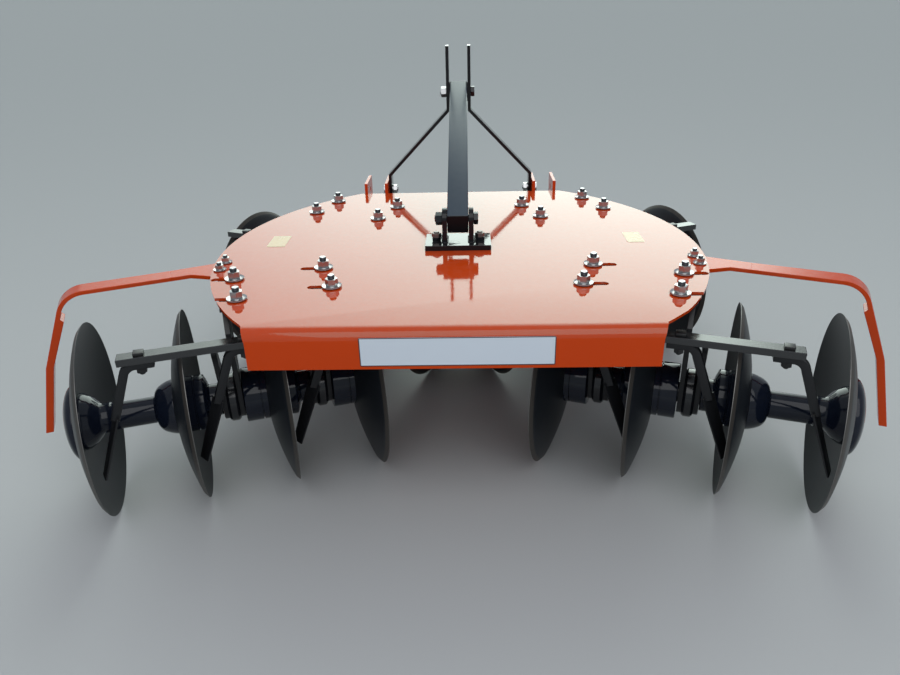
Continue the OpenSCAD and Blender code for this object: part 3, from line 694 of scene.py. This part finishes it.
# The strut's two pins are big hexagon bolts across the ears and the bars. The lower one is black.
# The upper one has a zinc nut on the left.
CROSS = [(STRUT_LOW, 0.050, 2), (STRUT_TOP, 0.048, 0)]
CROSS_FLATS, CROSS_NUT_TURN = 0.036, 0.3
mast_bolts = bmesh.new()
for place, half, nut_finish in CROSS:
    spot = Matrix.Translation(place) @ Matrix.Rotation(QUARTER, 4, "Y")
    add_part(mast_bolts, hex_piece(half + 0.0002, half + 0.0150, CROSS_FLATS, material=2), spot)
    turned_nut = Matrix.Rotation(CROSS_NUT_TURN, 4, "Z")
    add_part(mast_bolts, hex_piece(-half - 0.0213, -half - 0.0002, CROSS_FLATS, material=nut_finish),
             spot @ turned_nut)
    shank = [(0, -half - 0.0240), (0.0095, -half - 0.0240), (0.0118, -half - 0.0225),
             (0.0118, half), (0, half)]
    add_part(mast_bolts, lathe(shank, closed=False, material=nut_finish), spot)
mast_bolted = piece("mast_bolts", mast_bolts, "frame", "zinc", zinc, stud_dark, black_zinc)
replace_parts(mast_bolted, "strut_bolts")

# Each A-frame foot is bolted to the inner plate of its bracket. The zinc bolt has a nut and a washer
# inboard, and its head is behind the plate.
HITCH_LINE_Y, HITCH_LINE_Z = 0.699, 0.615
BAR_FOOT_X, BRACKET_X, HITCH_FLATS = 0.2819, 0.306, 0.033
HITCH_WASHER = [(0, BAR_FOOT_X - 0.0034), (0.0195, BAR_FOOT_X - 0.0034),
                (0.0195, BAR_FOOT_X - 0.0002), (0, BAR_FOOT_X - 0.0002)]
HITCH_SHANK = [(0, BAR_FOOT_X - 0.0220), (0.0095, BAR_FOOT_X - 0.0220), (0.0110, BAR_FOOT_X - 0.0205),
               (0.0110, BRACKET_X + 0.0020), (0, BRACKET_X + 0.0020)]
for side, sign in SIDES.items():
    hitch_bm = bmesh.new()
    spot = Matrix.Translation((0, HITCH_LINE_Y, HITCH_LINE_Z)) @ Matrix.Rotation(sign * QUARTER, 4, "Y")
    add_part(hitch_bm, hex_piece(BAR_FOOT_X - 0.0182, BAR_FOOT_X - 0.0034, HITCH_FLATS), spot)
    add_part(hitch_bm, lathe(HITCH_WASHER, closed=False), spot)
    add_part(hitch_bm, lathe(HITCH_SHANK, closed=False), spot)
    add_part(hitch_bm, hex_piece(BRACKET_X + 0.0002, BRACKET_X + 0.0130, HITCH_FLATS), spot)
    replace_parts(piece(f"hitch_fastening_{side}", hitch_bm, "frame", "zinc", zinc), f"hitch_bolt_{side}")

# The gang frames: cut and bent steel hangers, bolted up under the deck, and a flat beam behind each gang.
# They are in a satin black that has dulled, and the beams are glossier, because nothing rubs them.
SATIN_BLACK = (0.010, 0.0105, 0.012, 1)
satin_black = sprayed("satin black", SATIN_BLACK, 0.30, peel=0.12, dust=0.08, blotches=0.3, ior=1.38)
beam_black = sprayed("beam black", SATIN_BLACK, 0.17, peel=0.1, dust=0.1, blotches=0.3, ior=1.65)
GANG_FRAMES = {
    (row, side): "frame" if row == "front" else f"rear_frame_{side}"
    for row in BEARING_GAPS
    for side in SIDES
}
for (row, side), body in GANG_FRAMES.items():
    eased(f"{row}_hangers_{side}", body, "black_paint", satin_black, 0.0012)
    eased(f"{row}_beam_{side}", body, "black_paint", beam_black, 0.0018)

# The scrapers are bent bars with a blade on the end. Each is bolted under the beam and reaches down into a
# disc's hollow. The outermost blade of a gang stands nearly square to the disc, and the others are turned
# further.
BEAM_BACK, BEAM_TOP, BEAM_BOTTOM = 0.178, 0.547, 0.527
SCRAPER_ALONG = 0.135
FOOT_LONG, FOOT_T, ARM_T, ARM_W, ARM_LONG = 0.050, 0.018, 0.023, 0.026, 0.133
INNER_BEND_R, SCRAPER_LEAN = 0.025, math.radians(20)
SCRAPER_LONG, BLADE_T, BLADE_W, BLADE_LAP, BLADE_TIP, BLADE_WIDENS = 0.318, 0.006, 0.044, 0.010, 0.72, 1.6
SCRAPER_SHIFT = {"left": 0.010, "right": -0.006}
BLADE_TURNS = {-1.5: math.radians(17), -0.5: math.radians(40), 0.5: math.radians(40)}


def scraper(blade_turn):
    """A scraper about the middle of its bend: foot, bend, leaning arm and turned blade."""
    outer_r = INNER_BEND_R + FOOT_T
    outer = arc((0, 0), outer_r, QUARTER, math.radians(180) - SCRAPER_LEAN)
    inner = arc((0, 0), INNER_BEND_R + FOOT_T - ARM_T, math.radians(180) - SCRAPER_LEAN, QUARTER,
                grow=ARM_T - FOOT_T)
    end = Vector((-math.sin(SCRAPER_LEAN), -math.cos(SCRAPER_LEAN))) * ARM_LONG
    outline = [(FOOT_LONG, outer_r), *outer, tuple(Vector(outer[-1]) + end),
               tuple(Vector(inner[0]) + end), *inner, (FOOT_LONG, INNER_BEND_R)]
    blade_long = SCRAPER_LONG - ARM_LONG + BLADE_LAP
    blade = eased_block((BLADE_T, BLADE_W, blade_long), (0, 0, blade_long / 2), 0.0015)
    for vert in blade.verts:
        vert.co.y *= BLADE_TIP + (1 - BLADE_TIP) * min(max(vert.co.z / blade_long, 0) * BLADE_WIDENS, 1)
    bm = bmesh.new()
    add_part(bm, slab(outline, ARM_W),
             Matrix.Translation((0, ARM_W / 2, 0)) @ Matrix.Rotation(QUARTER, 4, "X"))
    at_tip = Matrix.Translation((-outer_r + ARM_T / 2, 0, -SCRAPER_LONG))
    add_part(bm, blade,
             Matrix.Rotation(SCRAPER_LEAN, 4, "Y") @ at_tip @ Matrix.Rotation(-blade_turn, 4, "Z"))
    return bm


for (row, side), body in GANG_FRAMES.items():
    scrapers_bm = bmesh.new()
    for i, blade_turn in BLADE_TURNS.items():
        along = i * PITCH + SCRAPER_ALONG + SCRAPER_SHIFT[side]
        spot = Matrix.Translation((along, BEAM_BACK, BEAM_BOTTOM - INNER_BEND_R - FOOT_T))
        add_part(scrapers_bm, scraper(blade_turn), gang_place(row, side) @ spot)
    made = piece(f"{row}_bent_scrapers_{side}", scrapers_bm, body, "black_paint", satin_black, smooth=25.0)
    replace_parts(made, f"{row}_scrapers_{side}")

# Each scraper's foot is bolted up under the beam. A square head lies on the beam, and a nut and the bolt's
# end are under the foot, all in black.
FOOT_BOTTOM = BEAM_BOTTOM - FOOT_T
SCRAPER_BOLT_ALONG, SCRAPER_BOLT_FLATS = 0.152, 0.024
SQUARE_HEAD = (0.026, 0.026, 0.0085)
scraper_bolt = bmesh.new()
add_part(scraper_bolt, eased_block(SQUARE_HEAD, (0, 0, BEAM_TOP + SQUARE_HEAD[2] / 2 + 0.0001), 0.0015))
add_part(scraper_bolt, hex_piece(FOOT_BOTTOM - 0.0130, FOOT_BOTTOM - 0.0001, SCRAPER_BOLT_FLATS))
shank = [(0, FOOT_BOTTOM - 0.0190), (0.0055, FOOT_BOTTOM - 0.0190), (0.0078, FOOT_BOTTOM - 0.0165),
         (0.0078, BEAM_TOP), (0, BEAM_TOP)]
add_part(scraper_bolt, lathe(shank, closed=False, steps=16))
BOLT_BLACK = (0.009, 0.009, 0.010, 1)
bolt_black = sprayed("bolt black", BOLT_BLACK, 0.35, peel=0.05, dust=0.2)
for (row, side), body in GANG_FRAMES.items():
    bolts_bm = bmesh.new()
    for i in BLADE_TURNS:
        along = Matrix.Translation((i * PITCH + SCRAPER_BOLT_ALONG + SCRAPER_SHIFT[side], BEAM_BACK, 0))
        add_part(bolts_bm, scraper_bolt, gang_place(row, side) @ along)
    piece(f"{row}_scraper_bolts_{side}", bolts_bm, body, "black_paint", bolt_black)

# The bearing housings are turned iron rings in glossy black, clasped between the plates of a hanger.
# Each has a raised band in the middle.
AXIS_Z = 0.280
HOUSING_ALONG = 0.103
HOUSING = [(0.0322, -0.016), (0.066, -0.016), (0.0705, -0.0115), (0.072, -0.009),
           (0.072, 0.009), (0.0705, 0.0115), (0.066, 0.016), (0.0322, 0.016)]
HOUSING_BLACK = (0.008, 0.009, 0.012, 1)
housing_black = sprayed("housing black", HOUSING_BLACK, 0.16, peel=0.12, peel_size=70.0, dust=0.08)


def on_axle(row, side, x):
    """A place on a gang's axle, for parts that are turned about Z."""
    return gang_place(row, side) @ Matrix.Translation((x, 0, AXIS_Z)) @ Matrix.Rotation(QUARTER, 4, "Y")


for (row, side), body in GANG_FRAMES.items():
    housing_bm = bmesh.new()
    for gap in BEARING_GAPS[row]:
        along = (gap - 0.5) * PITCH + HOUSING_ALONG
        add_part(housing_bm, lathe(HOUSING, steps=96), on_axle(row, side, along))
    made = piece(f"{row}_housings_{side}", housing_bm, body, "blue_black_paint", housing_black, smooth=25.0)
    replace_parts(made, f"{row}_bearings_{side}")

# The discs are dished steel in a thin satin black, with a bevel ground around the back of the edge, where
# the steel has gone brownish, and a bare edge.
DISC_R, HUB_IN, DISC_T, BEVEL_W, EDGE_W = 0.280, 0.056, 0.006, 0.011, 0.0015
DISH_R = (DISC_R ** 2 + HUB_IN ** 2) / (2 * HUB_IN)
DISC_BLACK = (0.0105, 0.0125, 0.0155, 1)
BEVEL_BROWN = (0.045, 0.040, 0.036, 1)
EDGE_STEEL = (0.14, 0.135, 0.13, 1)
DISC_SPOTS = (-1.5, -0.5, 0.5, 1.5)
MATT_SHINE = 0.25


def hollow(r):
    """Place along the axle of a disc's hollow face at a radius."""
    return DISH_R - HUB_IN - math.sqrt(DISH_R ** 2 - r ** 2)


def bulge(r):
    """Place along the axle of a disc's bulging back at a radius."""
    return DISH_R - HUB_IN - math.sqrt((DISH_R + DISC_T) ** 2 - r ** 2)


def disc():
    """A dished disc with a ground bevel, about the Z axis."""
    inside = [(r, hollow(r)) for r in [i * DISC_R / 20 for i in range(20)]]
    bevel_from = DISC_R - BEVEL_W
    outside = [(r, bulge(r)) for r in [bevel_from - i * bevel_from / 18 for i in range(19)]]
    bm = lathe(inside + [(DISC_R, 0), (DISC_R, -EDGE_W)] + outside, closed=False, steps=144)
    for face in bm.faces:
        middle = face.calc_center_median()
        r = middle.xy.length
        if r > DISC_R - 0.0005:
            face.material_index = 2
        elif r > bevel_from and middle.z < hollow(r) - 0.0005:
            face.material_index = 1
    return bm


disc_paint = sprayed("disc paint", DISC_BLACK, 0.40, peel=0.06, peel_size=300.0, dust=0.1, blotches=0.5,
                     shine=MATT_SHINE)
bevel_steel = sprayed("bevel steel", BEVEL_BROWN, 0.45, peel=0.05, peel_size=300.0, dust=0.2, blotches=0.6,
                      metal=0.3, shine=MATT_SHINE)
edge_steel = sprayed("edge steel", EDGE_STEEL, 0.4, peel=0.0, dust=0.1, blotches=0.5, metal=0.8)
plain_disc = disc()
for row, side in GANG_FRAMES:
    discs_bm = bmesh.new()
    for i in DISC_SPOTS:
        add_part(discs_bm, plain_disc, on_axle(row, side, i * PITCH))
    made = piece(f"{row}_dished_discs_{side}", discs_bm, f"{row}_gang_{side}", "disc_steel", disc_paint,
                 bevel_steel, edge_steel, smooth=20.0)
    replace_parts(made, f"{row}_discs_{side}")

# The spools are iron castings in a thick, glossy blue-black. A plain one is domed against a disc's hollow
# face, runs as a tube to the next disc's back and opens there like a bell. One with a bearing is stout at
# both ends. A closed bell ends each gang.
BLUE_BLACK = (0.007, 0.010, 0.020, 1)
BELL_R, NECK_R, TUBE_R, SEAT_GAP = 0.082, 0.043, 0.039, 0.0005
MOUTH = PITCH + bulge(BELL_R) - SEAT_GAP
END_BELLS = {"rear": (0.032, 0.110), "front": (0.014, 0.076)}
CAP_RIM, CAP_FROM = 0.007, 0.008
spool_paint = sprayed("spool paint", BLUE_BLACK, 0.09, peel=0.14, peel_size=55.0, dust=0.03, ior=1.36)


def softened(outline, steps=4):
    """Runs a smooth curve through the points of an outline."""
    points = [Vector(p) for p in outline]
    ends = [points[0] * 2 - points[1]] + points + [points[-1] * 2 - points[-2]]
    curve = []
    for a, b, c, d in zip(ends, ends[1:], ends[2:], ends[3:]):
        for i in range(steps):
            t = i / steps
            curve.append(((b * 2) + (c - a) * t + (a * 2 - b * 5 + c * 4 - d) * t * t
                          + (b * 3 - a - c * 3 + d) * t ** 3) / 2)
    return [tuple(p) for p in curve] + [outline[-1]]


DOME = [(0, hollow(0) + SEAT_GAP), (BELL_R, hollow(BELL_R) + SEAT_GAP)] + softened(
    [(BELL_R, -0.047), (0.081, -0.042), (0.075, -0.032), (0.067, -0.020), (0.055, -0.009), (0.046, -0.001),
     (NECK_R, 0.005)])
SEAT = [(r, PITCH + bulge(r) - SEAT_GAP) for r in (BELL_R, BELL_R / 2, 0)]
BELL = softened([
    (TUBE_R, MOUTH - 0.058), (0.042, MOUTH - 0.0555), (0.051, MOUTH - 0.0530), (0.060, MOUTH - 0.0475),
    (0.068, MOUTH - 0.0385), (0.0745, MOUTH - 0.026), (0.0795, MOUTH - 0.012), (BELL_R, MOUTH - 0.0005),
])
LONG_SPOOL = DOME + [(NECK_R, 0.0255), (0.0415, 0.028), (TUBE_R, 0.030)] + BELL + SEAT
STOUT = [(0.079, 0.135), (0.0812, 0.1362), (BELL_R, 0.138), (BELL_R, MOUTH - 0.019), (0.077, MOUTH - 0.018),
         (0.077, MOUTH - 0.016), (BELL_R, MOUTH - 0.015)]
CUP = [(0, hollow(0) + SEAT_GAP), (BELL_R, hollow(BELL_R) + SEAT_GAP), (BELL_R, -0.003), (0.0785, -0.0015),
       (0.0785, 0.0015), (BELL_R, 0.003), (BELL_R, 0.025), (0.0805, 0.0275), (0.060, 0.036), (0.050, 0.0385)]
JOURNAL = [(0.048, 0.041), (0.048, 0.069), (0.046, 0.071), (0.032, 0.071), (0.032, 0.135)]
BEARING_SPOOL = CUP + JOURNAL + STOUT + SEAT
LAST_SPOOL = DOME + [(NECK_R, 0.009), (0.041, 0.010), (0, 0.010)]


def closed_bell(height, radius):
    """The outline of the domed cap on a gang's end, against the first disc's back."""
    base = bulge(radius)
    cap = [(radius * math.sin(a), base - CAP_FROM - height * math.cos(a))
           for a in [math.radians(7.5 * i) for i in range(12)]]
    return cap + [(radius, base - CAP_RIM), (radius, base - SEAT_GAP),
                  (radius / 2, bulge(radius / 2) - SEAT_GAP), (0, bulge(0) - SEAT_GAP)]


for row, side in GANG_FRAMES:
    turned = [(BEARING_SPOOL if gap in BEARING_GAPS[row] else LONG_SPOOL, gap - 0.5) for gap in (-1, 0, 1)]
    turned += [(LAST_SPOOL, DISC_SPOTS[-1]), (closed_bell(*END_BELLS[row]), DISC_SPOTS[0])]
    spools_bm = bmesh.new()
    for outline, along in turned:
        add_part(spools_bm, lathe(outline, closed=False, steps=96), on_axle(row, side, along * PITCH))
    made = piece(f"{row}_cast_spools_{side}", spools_bm, f"{row}_gang_{side}", "blue_black_paint",
                 spool_paint)
    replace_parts(made, f"{row}_spools_{side}")

# The square axles are bare steel, dulled by weather. They carry the discs and spools of a gang, and a big
# nut on the end draws it all together. They keep the source's own mesh.
AXLE_STEEL = (0.20, 0.19, 0.18, 1)
axle_steel = sprayed("axle steel", AXLE_STEEL, 0.4, peel=0.05, metal=0.8)
for row, side in GANG_FRAMES:
    axle_mesh = frame["nodes"][f"{row}_axle_{side}"].data
    axle_mesh.materials.clear()
    axle_mesh.materials.append(axle_steel)
